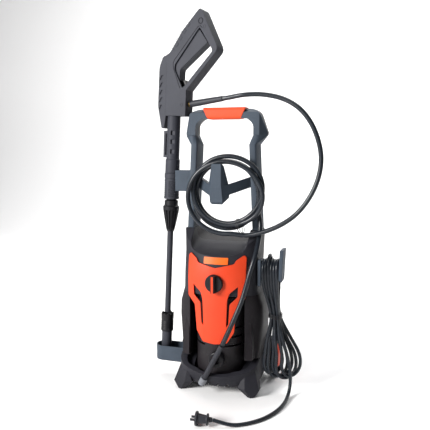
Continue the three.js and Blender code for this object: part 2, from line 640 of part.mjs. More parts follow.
// ---------------------------------------------------------------- water fittings
const SLEEVE_LOW_START = point(30, -148, 150);
const OUTLET = point(-24, -131, 47);
const OUTLET_AXIS = SLEEVE_LOW_START.clone().sub(OUTLET).normalize();
const alongOutlet = (geometry) => geometry
  .applyQuaternion(new THREE.Quaternion().setFromUnitVectors(point(0, 0, 1), OUTLET_AXIS))
  .translate(OUTLET.x, OUTLET.y, OUTLET.z);
function buildFittings() {
  const inlet = turned([
    [0, 0], [15, 0], [15, 22], [21, 22], [21, 39], [18, 41], [10.5, 41], [10.5, 24], [0, 24],
  ], 20);
  add('water_inlet', layFront(inlet).translate(8, -88, 101), black);

  const socket = turned([[0, -16], [9.5, -16], [9.5, 4], [7.4, 4], [7.4, -10], [0, -10]], 20);
  add('pressure_outlet', alongOutlet(socket), steel);
}

// ---------------------------------------------------------------- spray gun
function buildGun() {
  const body = [
    [83, 282, 13], [140, 172, 13], [47, 68], [47, 0, 2], [-17.8, 0, 2], [-17.8, 142], [-25, 160, 2],
    [-8, 169, 6], [28, 223], [57, 254],
  ];
  const opening = [
    [82, 230, 5], [124, 168, 7], [46, 84, 4], [34, 74, 3], [8, 124, 4], [9, 137, 4],
  ];
  const cavity = [
    [96, 226], [84, 238], [62, 242], [47, 231], [0, 150], [-5, 118], [-4, 90], [30, 76], [44, 82], [60, 120],
  ];
  const valveRoom = turned([[0, 6], [10, 6], [10, 74], [0, 74]], 16).translate(16, 0, 0);
  const pin = layFront(rod(2.5 + GAP, -17 - GAP, 17 + GAP, 12)).translate(TRIGGER_PIVOT.u, 0, TRIGGER_PIVOT.h);
  const shell = (v0, v1) => cut(
    alongY(outline(body), v0, v1),
    alongY(outline(opening), v0 - 1, v1 + 1),
    alongY(outline(cavity), -GUN_CAVITY, GUN_CAVITY),
    valveRoom, pin,
  );
  add('gun_shell_front', shell(-GUN_HALF, -GAP / 2), gunGrey, gun);
  add('gun_shell_rear', shell(GAP / 2, GUN_HALF), gunGrey, gun);

  const lever = [
    [79, 226, 4], [106, 190, 3], [99, 186, 3], [23, 124, 6], [23, 96, 3], [16, 92, 4], [3, 92, 4],
    [2, 110, 4], [8, 138, 3], [66, 224, 4],
  ];
  const trigger = cut(alongY(outline(lever), -14, 14), pin);
  add('gun_trigger', trigger, gunGrey, gun);
  const triggerPin = layFront(rod(2.5, -17, 17, 12)).translate(TRIGGER_PIVOT.u, 0, TRIGGER_PIVOT.h);
  add('trigger_pin', triggerPin, steel, gun);
  const latch = outline([[35.7, LOCK_PIVOT.h], [41.3, LOCK_PIVOT.h], [35.5, 97, 2], [30, 95, 2]]);
  const latchFoot = layFront(rod(2.9, -7, 7, 12)).translate(LOCK_PIVOT.u, 0, LOCK_PIVOT.h);
  add('trigger_lock', joined(alongY(latch, -7, 7), latchFoot), black, gun);
  const valve = turned([[0, 8], [9.5, 8], [9.5, 50], [5, 56], [5, 70], [0, 70]], 16);
  add('gun_valve', valve.translate(16, 0, 0), brass, gun);

  const strip = [
    [-26, 163, 3], [-34, 158, 6], [-44, 132, 10], [-45, 26, 6], [-31, -34, 4], [-23, -34, 2], [-18.6, -4],
    [-18.6, 141],
  ];
  const ribs = [30, 50, 70, 90, 110]
    .map((h) => alongY(outline([[-42, h - 12], [-36, h - 12], [-30, h], [-36, h]]), -30, -12.4));
  add('gun_side_cover', cut(alongY(outline(strip), -15, 15), ...ribs), gunGrey, gun);

  const sideBar = joined(
    box(-29, -23, -5, 5, -114, -40), box(-25, -12, -5, 5, -114, -107), box(-25, -12, -5, 5, -47, -40),
  );
  const barrel = joined(turned([
    [0, -156], [20, -156], [20, -120], [18, -117], [18, -0.5], [0, -0.5],
  ], 24), sideBar);
  const notches = [-46, -70, -97].map((h) => box(2, 14, -30, -13, h - 6, h + 6));
  add('gun_barrel', cut(barrel, ...notches), gunGrey, gun);

  const nut = [[0, -229], [20, -229], [21.5, -227], [21.5, -158], [20, -156 - GAP], [0, -156 - GAP]];
  add('bayonet_nut', turned(nut), gunGrey, gun);
  add('gun_inlet', layX(rod(7, 0, 5, 16)).translate(47.3, 0, 33), brass, gun);
}

function buildLance() {
  const cone = turned([
    [0, -320], [10.5, -320], [12, -312], [22.5, -262], [23, -250], [19, -247], [19, -234], [14, -231],
    [14, -229 - GAP], [0, -229 - GAP],
  ], 24);
  add('lance_cone', cone, black, gun);
  add('lance_tube', rod(8.5, -556, -320 - GAP, 20), gunGrey, gun);
  const collar = [[0, -611], [17, -611], [18, -609], [18, -559], [17, -556 - GAP], [0, -556 - GAP]];
  add('nozzle_collar', turned(collar), black, gun);
  const tip = [[0, -668], [11, -668], [14.5, -660], [14.5, -611 - GAP], [0, -611 - GAP]];
  add('nozzle_tip', turned(tip), gunGrey, gun);
}

// ---------------------------------------------------------------- hose and mains cord
function taperAlong(from, to, r0, r1, sides = 14) {
  const axis = point(...to).sub(point(...from));
  const length = axis.length();
  const align = new THREE.Quaternion().setFromUnitVectors(point(0, 0, 1), axis.normalize());
  return turned([[0, 0], [r0, 0], [r0, length * 0.12], [r1, length], [0, length]], sides)
    .applyQuaternion(align).translate(...from);
}

const SLEEVE_START = inGun(53.6, 0, 33.2).toArray();
const SLEEVE_END = inGun(150, 0, 47).toArray();
const HOSE_UPPER = [
  inGun(151.3, 0, 47.1).toArray(), inGun(170, 0, 49.5).toArray(),
  [50, -50, 788], [86, -50, 790], [120, -52, 787], [163, -56, 776], [204, -62, 752],
  [234, -66, 713], [254, -68, 664], [260, -69, 620], [252, -70, 572], [232, -72, 524], [200, -74, 484],
  [158, -77, 455], [112, -79, 440], [70, -79.5, 432], [30, -79, 428],
];
const HOSE_LOWER = [
  [89, -56, 446], [100, -62, 424], [106, -84, 400], [101, -103, 368], [93, -112, 335], [85, -118, 300],
  [75, -126, 262], [60, -135, 222], [45, -143, 184], [31.3, -148.4, 152.4],
];

function buildHose() {
  add('hose_sleeve_gun', taperAlong(SLEEVE_START, SLEEVE_END, 9, 7.3), rubberBlack);
  add('hose_upper_run', tube(HOSE_UPPER, HOSE_D, 36), rubberBlack);
  add('hose_coil', coilRing(0), rubberBlack);
  add('hose_lower_run', tube(HOSE_LOWER, HOSE_D, 15), rubberBlack);
  const lowEnd = OUTLET.clone().addScaledVector(OUTLET_AXIS, -9).toArray();
  add('hose_sleeve_outlet', taperAlong(lowEnd, SLEEVE_LOW_START.toArray(), 7.1, 6.8), rubberBlack);
}

function buildCord() {
  const glandFrom = [70, BODY_BACK - 2, 300];
  const glandTo = [74, BODY_BACK + 38, 294];
  const sleeve = taperAlong(glandFrom, glandTo, 8.5, CORD_D / 2 + 1.2);
  add('cord_gland', cut(sleeve, box(0, 120, 0, BODY_BACK + GAP, 250, 350)), rubberBlack);
  add('cord_lead', tube([
    [74.2, BODY_BACK + 39.4, 293.8], [77.5, BODY_BACK + 52, 290], [92, BODY_BACK + 56.5, 280],
    [118, BODY_BACK + 42, 268], [138, BODY_BACK + 8, 262], [146, 22, 268], [141, -4, 284], [140, -15, 291],
  ], CORD_D, 14), rubberBlack);
  const hankShape = outline([
    [116, 366, 6], [128, 382, 8], [158, 382, 8], [172, 300, 20], [170, 212, 20], [224, 92, 18], [218, 48, 12],
    [196, 36, 8], [128, 36, 5], [118.5, 70, 10], [118.5, 100, 12], [130, 212, 20], [114, 300, 14],
  ]);
  const aroundArm = box(90, 200, HANK.y - 14, HANK.y + 14, 329, 351);
  const besidePlate = box(159, 220, HANK.y - 40, HANK.y + 40, 304, 400);
  const hank = cut(alongY(hankShape, HANK.y - HANK.half, HANK.y + HANK.half, 5), aroundArm, besidePlate);
  add('cord_hank', hank, rubberBlack);
  add('cord_free_run', tube([
    [192, -60, 35.2], [193, -62, 26], [192.5, -70, 13], [191.5, -84, 6.5], [190.5, -100, 4.8],
    [187, -130, 4.8],
    [176, -170, 4.8], [152, -215, 4.8], [120, -247, 4.8], [92, -265, 6], [70, -272.5, 11],
    [54, -275.2, 16.2], [45.8, -276.1, 17.3],
  ], CORD_D, 24), rubberBlack);
  const plug = joined(
    turned([
      [0, 0], [5.4, 0], [6.5, 9], [14, 9.5], [14, 13], [9.5, 13.5], [12.5, 34], [17, 35], [17, 40], [0, 40],
    ], 16),
    ...[-7, 7].map((offset) => box(-3, 3, offset - 0.8, offset + 0.8, 39, 52)),
  );
  add('plug', layX(geometryOf(plug)).rotateZ(Math.PI + 0.1).translate(44.2, -276.2, 17.3), rubberBlack);
}

// ---------------------------------------------------------------- assembly
buildHousings();
buildBase();
buildFront();
buildSwitch();
buildUprights();
buildHandle();
buildHook();
buildBrackets();
buildWheels();
buildDrive();
buildFittings();
buildGun();
buildLance();
buildHose();
buildCord();

export default group;
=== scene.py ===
import math

import bmesh
import bpy
from mathutils import Matrix, Vector


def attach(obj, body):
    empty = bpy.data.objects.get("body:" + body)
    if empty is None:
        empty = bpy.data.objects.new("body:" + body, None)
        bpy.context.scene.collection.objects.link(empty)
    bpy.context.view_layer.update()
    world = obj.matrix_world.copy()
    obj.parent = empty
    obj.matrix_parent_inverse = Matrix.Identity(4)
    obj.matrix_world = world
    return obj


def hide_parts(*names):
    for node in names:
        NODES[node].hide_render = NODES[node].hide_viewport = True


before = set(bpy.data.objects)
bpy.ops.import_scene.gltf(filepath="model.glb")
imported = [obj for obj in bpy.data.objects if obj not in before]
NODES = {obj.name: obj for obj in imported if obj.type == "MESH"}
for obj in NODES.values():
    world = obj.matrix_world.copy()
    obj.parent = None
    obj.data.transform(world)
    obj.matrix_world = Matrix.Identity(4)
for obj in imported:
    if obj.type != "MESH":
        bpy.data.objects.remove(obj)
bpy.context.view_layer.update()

# Looks of an upright electric pressure washer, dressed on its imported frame. Lengths are in metres.
# The model's own layout is moved by this much so that the middle of its footprint is the origin.
LAYOUT = Vector((0.015065, 0.010985, 0.0))


def at(x, y, z):
    """A point of the layout, in the frame's place."""
    return Vector((x, y, z)) + LAYOUT


# ------------------------------------------------------------------ camera, light, floor
CAM_AZIMUTH = 16.88
CAM_PITCH = 7.24
CAM_AIM = at(-0.03265, 0.0, 0.4681)
CAM_DISTANCE = 1.4913
CAM_LENS = 44.87
SENSOR_WIDTH = 36.0

FLOOR_HALF_WIDTH = 6.0
FLOOR_FRONT = -4.0
FLOOR_BACK = 2.0
BACKDROP_RADIUS = 1.2
BACKDROP_TOP = 5.0
BACKDROP_STEPS = 12


def make_camera():
    data = bpy.data.cameras.new("camera")
    data.lens = CAM_LENS
    data.sensor_width = SENSOR_WIDTH
    camera = bpy.data.objects.new("camera", data)
    bpy.context.scene.collection.objects.link(camera)
    turn = math.radians(CAM_AZIMUTH)
    pitch = math.radians(CAM_PITCH)
    back = Vector((math.sin(turn) * math.cos(pitch), -math.cos(turn) * math.cos(pitch), math.sin(pitch)))
    camera.location = CAM_AIM + back * CAM_DISTANCE
    camera.rotation_euler = (math.pi / 2 - pitch, 0.0, turn)
    bpy.context.scene.camera = camera


def area_light(name, place, aim, size, power, colour=(1, 1, 1)):
    data = bpy.data.lights.new(name, "AREA")
    data.energy = power
    data.size = size
    data.color = colour
    lamp = bpy.data.objects.new(name, data)
    lamp.location = place
    lamp.rotation_euler = (Vector(aim) - Vector(place)).to_track_quat("-Z", "Y").to_euler()
    bpy.context.scene.collection.objects.link(lamp)


def make_lights():
    area_light("key", (-1.7, -2.2, 1.4), (0, 0, 0.5), 1.0, 150, (1.0, 0.985, 0.97))
    area_light("top", (0.0, 0.9, 2.7), (0, 0.6, 0.0), 2.2, 50)
    area_light("backdrop", (0.0, 1.5, 2.6), (0, 3.0, 0.9), 1.8, 50)
    world = bpy.data.worlds.new("studio")
    bpy.context.scene.world = world
    world.use_nodes = True
    shade = world.node_tree.nodes["Background"]
    shade.inputs["Color"].default_value = (0.96, 0.97, 1.0, 1)
    shade.inputs["Strength"].default_value = 0.2
    bpy.context.scene.view_settings.view_transform = "Standard"


def floor_profile():
    """Side view of the floor: flat, then a quarter circle up into an upright backdrop."""
    profile = [(FLOOR_FRONT, 0.0), (FLOOR_BACK, 0.0)]
    for i in range(1, BACKDROP_STEPS + 1):
        t = i * math.pi / 2 / BACKDROP_STEPS
        profile.append((FLOOR_BACK + math.sin(t) * BACKDROP_RADIUS,
                        BACKDROP_RADIUS - math.cos(t) * BACKDROP_RADIUS))
    profile.append((FLOOR_BACK + BACKDROP_RADIUS, BACKDROP_TOP))
    return profile


def make_floor():
    mesh = bpy.data.meshes.new("floor")
    bm = bmesh.new()
    rows = [[bm.verts.new((x, y, z)) for x in (-FLOOR_HALF_WIDTH, FLOOR_HALF_WIDTH)]
            for y, z in floor_profile()]
    for low, high in zip(rows, rows[1:]):
        bm.faces.new((low[0], low[1], high[1], high[0]))
    bm.to_mesh(mesh)
    bm.free()
    floor = bpy.data.objects.new("floor", mesh)
    bpy.context.scene.collection.objects.link(floor)
    for poly in mesh.polygons:
        poly.use_smooth = True
    material = bpy.data.materials.new("floor_paper")
    material.use_nodes = True
    shader = material.node_tree.nodes["Principled BSDF"]
    shader.inputs["Base Color"].default_value = (0.93, 0.93, 0.93, 1)
    shader.inputs["Roughness"].default_value = 0.9
    mesh.materials.append(material)


# ------------------------------------------------------------------ materials
DRIFT_SCALE = 22.0                     # size of the slow colour drift, in waves per metre
DRIFT_DETAIL = 4.0
DRIFT_RANGE = (0.3, 0.72)
GRAIN_DETAIL = 2.0
GLOSS_BELOW, GLOSS_ABOVE = 0.07, 0.09  # how far the roughness wanders from its middle
BUMP_STRENGTH = 0.5
EDGE_SAMPLES = 4


def link(tree, a, out, b, socket):
    tree.links.new(a.outputs[out], b.inputs[socket])


def noise(tree, place, scale, detail):
    texture = tree.nodes.new("ShaderNodeTexNoise")
    texture.inputs["Scale"].default_value = scale
    texture.inputs["Detail"].default_value = detail
    link(tree, place, "Vector", texture, "Vector")
    return texture


def moulded(name, colour, rough=0.5, grain=900.0, depth=0.00012, vary=0.10, metal=0.0, edge=0.0012,
            stretch=(1, 1, 1), gleam=0.5):
    """Moulded or machined surface: fine grain, slow colour and gloss drift, rounded-off edges."""
    material = bpy.data.materials.new(name)
    material.use_nodes = True
    tree = material.node_tree
    shader = tree.nodes["Principled BSDF"]
    shader.inputs["Metallic"].default_value = metal
    shader.inputs["Specular IOR Level"].default_value = gleam
    place = tree.nodes.new("ShaderNodeTexCoord")
    scale = tree.nodes.new("ShaderNodeMapping")
    scale.inputs["Scale"].default_value = stretch
    link(tree, place, "Object", scale, "Vector")
    drift = noise(tree, scale, DRIFT_SCALE, DRIFT_DETAIL)
    fine = noise(tree, scale, grain, GRAIN_DETAIL)

    ramp = tree.nodes.new("ShaderNodeValToRGB")
    low, high = ramp.color_ramp.elements
    low.position, high.position = DRIFT_RANGE
    low.color = tuple(c * (1 - vary) for c in colour) + (1,)
    high.color = tuple(min(1.0, c * (1 + vary)) for c in colour) + (1,)
    link(tree, drift, "Fac", ramp, "Fac")
    link(tree, ramp, "Color", shader, "Base Color")

    gloss = tree.nodes.new("ShaderNodeMapRange")
    gloss.inputs["To Min"].default_value = rough - GLOSS_BELOW
    gloss.inputs["To Max"].default_value = rough + GLOSS_ABOVE
    link(tree, fine, "Fac", gloss, "Value")
    link(tree, gloss, "Result", shader, "Roughness")

    bump = tree.nodes.new("ShaderNodeBump")
    bump.inputs["Strength"].default_value = BUMP_STRENGTH
    bump.inputs["Distance"].default_value = depth
    link(tree, fine, "Fac", bump, "Height")
    if edge:
        round_off = tree.nodes.new("ShaderNodeBevel")
        round_off.samples = EDGE_SAMPLES
        round_off.inputs["Radius"].default_value = edge
        link(tree, round_off, "Normal", bump, "Normal")
    link(tree, bump, "Normal", shader, "Normal")
    return material


CHARCOAL = moulded("charcoal_plastic", (0.045, 0.058, 0.076), rough=0.55, grain=1100, depth=0.00015,
                   edge=0.002, gleam=0.15)
HOUSING = moulded("housing_plastic", (0.017, 0.017, 0.022), rough=0.52, grain=1100, depth=0.00015,
                  edge=0.002, gleam=0.18)
BROWN_BLACK = moulded("brown_black_plastic", (0.011, 0.009, 0.011), rough=0.52, grain=1100, depth=0.00015,
                      vary=0.12, edge=0.002, gleam=0.15)
BLACK = moulded("black_plastic", (0.006, 0.006, 0.008), rough=0.42, grain=1300, depth=0.0001,
                vary=0.12, gleam=0.22)
GRILLE = moulded("grille_plastic", (0.014, 0.012, 0.014), grain=1100, depth=0.00015, vary=0.12, gleam=0.2)
ORANGE = moulded("orange_plastic", (0.60, 0.046, 0.011), rough=0.45, grain=700, depth=0.00006,
                 vary=0.05, edge=0.0015, gleam=0.25)
ORANGE_GRIP = moulded("orange_soft_grip", (0.62, 0.062, 0.017), rough=0.55, grain=500, depth=0.0002,
                      vary=0.06, edge=0.003, gleam=0.25)
LABEL = moulded("label_film", (0.62, 0.11, 0.008), rough=0.4, grain=300, depth=0.00003, vary=0.14,
                edge=0, gleam=0.25)
GUN = moulded("gun_plastic", (0.033, 0.035, 0.044), rough=0.55, grain=1200, depth=0.00015, vary=0.08,
              edge=0.0022, gleam=0.15)
RUBBER = moulded("hose_rubber", (0.010, 0.013, 0.018), rough=0.28, grain=600, depth=0.00006, edge=0,
                 gleam=0.32)
SLEEVE = moulded("sleeve_rubber", (0.020, 0.021, 0.027), grain=700, depth=0.0001, vary=0.12, gleam=0.3)
TYRE = moulded("tyre_rubber", (0.010, 0.010, 0.012), rough=0.62, grain=500, depth=0.0002, vary=0.14,
               gleam=0.2)
STEEL = moulded("brushed_steel", (0.62, 0.64, 0.66), rough=0.3, grain=400, depth=0.00004, vary=0.05,
                metal=1.0, stretch=(1, 1, 12))
OUTLET = moulded("grey_fitting", (0.16, 0.17, 0.19), rough=0.4, grain=600, depth=0.0001, vary=0.08)
BRASS = moulded("turned_brass", (0.40, 0.27, 0.10), rough=0.35, grain=500, depth=0.00004, vary=0.08,
                metal=1.0)
COPPER = moulded("copper_winding", (0.55, 0.24, 0.10), rough=0.35, depth=0.0002, vary=0.15, metal=1.0,
                 stretch=(1, 1, 6))
CAST = moulded("cast_aluminium", (0.50, 0.51, 0.52), grain=700, depth=0.0003, vary=0.08, metal=1.0)
INNER = moulded("inner_grey_plastic", (0.18, 0.18, 0.19), rough=0.55, depth=0.0001, vary=0.08)
TIE = moulded("tie_band", (0.006, 0.006, 0.008), rough=0.4, depth=0.0001, edge=0)
GROOVE = moulded("groove_shade", (0.010, 0.010, 0.014), rough=0.6, depth=0.0001, edge=0, gleam=0.2)

FINISH = {
    CHARCOAL: "upright_left upright_right handle_loop hose_hook gun_clip lance_cup cord_hook",
    HOUSING: "base_frame front_housing",
    BROWN_BLACK: "rear_housing side_fairing_left side_fairing_right",
    GRILLE: "lower_grille",
    BLACK: "switch_knob handle_rear_shell water_inlet lance_cone nozzle_collar trigger_lock motor_fan",
    ORANGE: "front_panel knob_pointer hub_cap_left hub_cap_right",
    ORANGE_GRIP: "handle_grip",
    LABEL: "label_plate",
    GUN: "gun_shell_front gun_shell_rear gun_trigger gun_side_cover gun_barrel bayonet_nut lance_tube "
         "nozzle_tip",
    TYRE: "wheel_left wheel_right",
    SLEEVE: "hose_sleeve_gun hose_sleeve_outlet cord_gland plug",
    RUBBER: "hose_upper_run hose_coil hose_lower_run cord_lead cord_hank cord_free_run",
    STEEL: "trigger_pin wheel_axle motor_body wobble_plate piston_1 piston_2 piston_3",
    OUTLET: "pressure_outlet",
    BRASS: "gun_valve gun_inlet",
    COPPER: "motor_rotor",
    CAST: "pump_body",
    INNER: "rotary_switch run_capacitor",
}


# ------------------------------------------------------------------ dressing the CAD nodes
WELD_DISTANCE = 0.00002
SHARP_ANGLE = 32                       # degrees; sharper edges stay crisp, or take a bevel
BEVELLED_ANGLE = 40                    # degrees; the same after a bevel, and on turned pieces
BEVEL_SEGMENTS = 3

# Radius of the rounded edges of each piece that has them.
BEVELS = {
    "handle_grip": 0.002, "handle_loop": 0.003, "handle_rear_shell": 0.003, "upright_left": 0.0025,
    "upright_right": 0.0025, "gun_shell_front": 0.0018, "gun_shell_rear": 0.0018, "gun_trigger": 0.002,
    "gun_side_cover": 0.003, "hose_hook": 0.0012, "base_frame": 0.0015, "cord_hook": 0.002,
    "front_panel": 0.0010, "switch_knob": 0.0008, "lance_cup": 0.0012, "gun_clip": 0.0015,
    "side_fairing_left": 0.001, "side_fairing_right": 0.001, "front_housing": 0.001, "gun_barrel": 0.0012,
    "plug": 0.0008, "water_inlet": 0.0008,
}


def soft_group(name, merge, sharp_angle):
    """Shades smooth up to an angle. With a merge distance, it first welds split corners and drops
    stored normals."""
    tree = bpy.data.node_groups.new(name, "GeometryNodeTree")
    tree.interface.new_socket("Geometry", in_out="INPUT", socket_type="NodeSocketGeometry")
    tree.interface.new_socket("Geometry", in_out="OUTPUT", socket_type="NodeSocketGeometry")
    start = tree.nodes.new("NodeGroupInput")
    end = tree.nodes.new("NodeGroupOutput")
    last = start.outputs[0]
    if merge:
        weld = tree.nodes.new("GeometryNodeMergeByDistance")
        weld.inputs["Distance"].default_value = merge
        tree.links.new(last, weld.inputs["Geometry"])
        drop = tree.nodes.new("GeometryNodeRemoveAttribute")
        drop.inputs["Name"].default_value = "custom_normal"
        link(tree, weld, "Geometry", drop, "Geometry")
        last = drop.outputs["Geometry"]
    faces = tree.nodes.new("GeometryNodeSetShadeSmooth")
    faces.domain = "FACE"
    faces.inputs["Shade Smooth"].default_value = True
    tree.links.new(last, faces.inputs["Geometry"])
    angle = tree.nodes.new("GeometryNodeInputMeshEdgeAngle")
    over = tree.nodes.new("FunctionNodeCompare")
    over.data_type = "FLOAT"
    over.operation = "GREATER_THAN"
    over.inputs["B"].default_value = math.radians(sharp_angle)
    link(tree, angle, "Unsigned Angle", over, "A")
    edges = tree.nodes.new("GeometryNodeSetShadeSmooth")
    edges.domain = "EDGE"
    edges.inputs["Shade Smooth"].default_value = False
    link(tree, faces, "Geometry", edges, "Geometry")
    link(tree, over, "Result", edges, "Selection")
    tree.links.new(edges.outputs["Geometry"], end.inputs[0])
    return tree


WELDED = soft_group("weld_and_smooth", WELD_DISTANCE, SHARP_ANGLE)
SMOOTHED = soft_group("smooth_by_angle", 0, BEVELLED_ANGLE)


def add_nodes(obj, tree):
    obj.modifiers.new(tree.name, "NODES").node_group = tree


def round_edges(obj, radius):
    bevel = obj.modifiers.new("rounded", "BEVEL")
    bevel.width = radius
    bevel.segments = BEVEL_SEGMENTS
    bevel.limit_method = "ANGLE"
    bevel.angle_limit = math.radians(SHARP_ANGLE)
    bevel.use_clamp_overlap = True
    add_nodes(obj, SMOOTHED)


def dress():
    """Gives each CAD node its material, welded corners and rounded edges."""
    for material, names in FINISH.items():
        for name in names.split():
            obj = NODES[name]
            if not obj.material_slots:
                obj.data.materials.append(material)
            for slot in obj.material_slots:
                slot.material = material
            add_nodes(obj, WELDED)
            if name in BEVELS:
                round_edges(obj, BEVELS[name])


# ------------------------------------------------------------------ the gun's own frame
GUN_ORIGIN = at(-0.1485, -0.007, 0.740)
GUN_TURN = (
    Matrix.Rotation(math.radians(-12), 3, "Z")
    @ Matrix.Rotation(math.radians(1.87), 3, "Y")
    @ Matrix.Rotation(math.radians(-1.65), 3, "X")
)


def in_gun(u, v, h):
    """A point of the gun's own frame: u across the gun, v through it, h up its barrel's axis."""
    return GUN_TURN @ Vector((u, v, h)) + GUN_ORIGIN


# ------------------------------------------------------------------ cords
ROUTE_STEP = 0.005                     # distance between neighbouring points of a cord
MIN_GAP = 1e-6


def smooth_route(points, step):
    """Points about a step apart along a centripetal Catmull-Rom curve through the route."""
    route = [Vector(p) for p in points]
    first = route[0] * 2 - route[1]
    last = route[-1] * 2 - route[-2]
    route = [first] + route + [last]
    dense = []
    for p0, p1, p2, p3 in zip(route, route[1:], route[2:], route[3:]):
        t1 = math.sqrt(max((p1 - p0).length, MIN_GAP))
        t2 = t1 + math.sqrt(max((p2 - p1).length, MIN_GAP))
        t3 = t2 + math.sqrt(max((p3 - p2).length, MIN_GAP))
        count = max(2, round((p2 - p1).length / step))
        for k in range(count):
            t = t1 + (t2 - t1) * k / count
            a1 = p0 * ((t1 - t) / t1) + p1 * (t / t1)
            a2 = p1 * ((t2 - t) / (t2 - t1)) + p2 * ((t - t1) / (t2 - t1))
            a3 = p2 * ((t3 - t) / (t3 - t2)) + p3 * ((t - t2) / (t3 - t2))
            b1 = a1 * ((t2 - t) / t2) + a2 * (t / t2)
            b2 = a2 * ((t3 - t) / (t3 - t1)) + a3 * ((t - t1) / (t3 - t1))
            dense.append(b1 * ((t2 - t) / (t2 - t1)) + b2 * ((t - t1) / (t2 - t1)))
    dense.append(route[-2])
    return dense


def eased(points, rounds):
    """Relaxes kinks; the two ends keep their place."""
    for _ in range(rounds):
        middle = [(a + b * 2 + c) / 4 for a, b, c in zip(points, points[1:], points[2:])]
        points = [points[0]] + middle + [points[-1]]
    return points


def cord_curve(name, points, diameter, material):
    curve = bpy.data.curves.new(name, "CURVE")
    curve.dimensions = "3D"
    curve.bevel_depth = diameter / 2
    curve.bevel_resolution = 4
    curve.use_fill_caps = True
    spline = curve.splines.new("POLY")
    spline.points.add(len(points) - 1)
    for knot, p in zip(spline.points, points):
        knot.co = (*p, 1)
    spline.use_smooth = True
    curve.materials.append(material)
    obj = bpy.data.objects.new(name, curve)
    bpy.context.scene.collection.objects.link(obj)
    return obj


HOSE_D = 0.0125
HOSE_EASING = 6
CORD_D = 0.009
CORD_EASING = 8

# Out of the gun's sleeve, round the big loop at the right and in to the coil.
HOSE_OUT_OF_GUN = [(0.1513, 0, 0.0471), (0.170, 0, 0.0495)]
HOSE_LOOP = [
    (0.050, -0.050, 0.788), (0.086, -0.050, 0.790), (0.120, -0.052, 0.787), (0.163, -0.056, 0.776),
    (0.204, -0.062, 0.752), (0.236, -0.066, 0.713), (0.256, -0.068, 0.664), (0.262, -0.069, 0.620),
    (0.254, -0.070, 0.572), (0.232, -0.072, 0.524), (0.200, -0.074, 0.484), (0.158, -0.077, 0.455),
    (0.112, -0.077, 0.436), (0.072, -0.0755, 0.4275),
]
# From the coil down the front to the outlet.
HOSE_DOWN = [
    (0.1065, -0.049, 0.462), (0.1070, -0.060, 0.428), (0.106, -0.084, 0.398), (0.101, -0.103, 0.366),
    (0.093, -0.112, 0.335), (0.085, -0.118, 0.300), (0.075, -0.126, 0.262), (0.060, -0.135, 0.222),
    (0.045, -0.143, 0.184), (0.0313, -0.1484, 0.1524),
]
# The coil's turns, front to back: centre x and z, half width, half height, y. Near its end, each turn
# drifts over to the next row; the coil stops on the way to the last row.
TURNS = [
    (0.016, 0.5240, 0.1010, 0.0945, -0.0770),
    (0.023, 0.5415, 0.0965, 0.0910, -0.0665),
    (0.017, 0.5360, 0.0840, 0.0820, -0.0555),
    (0.013, 0.5290, 0.0930, 0.0900, -0.0450),
    (0.018, 0.5310, 0.0950, 0.0930, -0.0450),
]
COIL_START = -80.0                     # degrees, seen from the front
COIL_SWEEP = 1388.0
COIL_STEPS = 160
EASE_FROM = 0.66                       # share of a turn after which it drifts over to the next one


def coil_points():
    points = []
    for k in range(COIL_STEPS + 1):
        swept = COIL_SWEEP * k / COIL_STEPS
        turn = swept / 360.0
        i = min(int(turn), len(TURNS) - 2)
        f = min(max((turn - i - EASE_FROM) / (1 - EASE_FROM), 0.0), 1.0)
        f = f * f * (3 - 2 * f)
        cx, cz, wide, tall, y = (a * (1 - f) + b * f for a, b in zip(TURNS[i], TURNS[i + 1]))
        angle = math.radians(COIL_START - swept)
        points.append(at(cx + wide * math.cos(angle), y, cz + tall * math.sin(angle)))
    return points


def make_hose():
    route = [in_gun(*p) for p in HOSE_OUT_OF_GUN] + [at(*p) for p in HOSE_LOOP]
    route += coil_points() + [at(*p) for p in HOSE_DOWN]
    points = eased(smooth_route(route, ROUTE_STEP), HOSE_EASING)
    hose = cord_curve("pressure_hose", points, HOSE_D, RUBBER)
    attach(hose, "machine")
    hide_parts("hose_upper_run", "hose_coil", "hose_lower_run")
    return hose


# From the gland on the back, round the side and up to the hook.
CORD_LEAD = [
    (0.0742, 0.0914, 0.2938), (0.0775, 0.1040, 0.2900), (0.092, 0.1085, 0.280), (0.118, 0.094, 0.268),
    (0.138, 0.060, 0.262), (0.146, 0.022, 0.268), (0.140, -0.010, 0.290),
]
# From the hank down to the floor, forward along it and up into the plug.
CORD_FREE = [
    (0.170, -0.062, 0.160), (0.186, -0.060, 0.105), (0.194, -0.058, 0.060), (0.1945, -0.062, 0.030),
    (0.193, -0.070, 0.0125), (0.1915, -0.084, 0.0065), (0.1905, -0.100, 0.0048), (0.187, -0.130, 0.0048),
    (0.176, -0.170, 0.0048), (0.152, -0.215, 0.0048), (0.120, -0.247, 0.0048), (0.092, -0.265, 0.006),
    (0.070, -0.2725, 0.011), (0.054, -0.2752, 0.0162), (0.0456, -0.2761, 0.0173),
]
HANK_Y = -0.046
HANK_FRONT = HANK_Y - 0.0225
HANK_BACK = HANK_Y + 0.0225
HANK_TIE_Z = 0.212
LOOPS = 6
HIGH_LOOP = 2                          # the loop that rides up over its neighbours
HOOK_X = 0.1185                        # first loop's place on the hook
HOOK_PITCH = 0.0072
HOOK_TOP_Z = 0.362
ARCH_HALF = 0.015                      # the bend over the hook: half its length in y, and its drop
ARCH_DROP = 0.0065
SHOULDER_Z = 0.335
NECK_Z = 0.300
# Below the tie, each fold's left x, right x and lowest z.
FOLDS = [
    (0.124, 0.168, 0.047), (0.134, 0.182, 0.041), (0.146, 0.194, 0.044), (0.156, 0.205, 0.040),
    (0.170, 0.2165, 0.046),
]


def tie_crossing(k):
    """Where loop k passes the tie: its x, and its step back in y when it lies in the second row."""
    return 0.1405 + 0.0088 * (k // 2), 0.0086 * (k % 2)


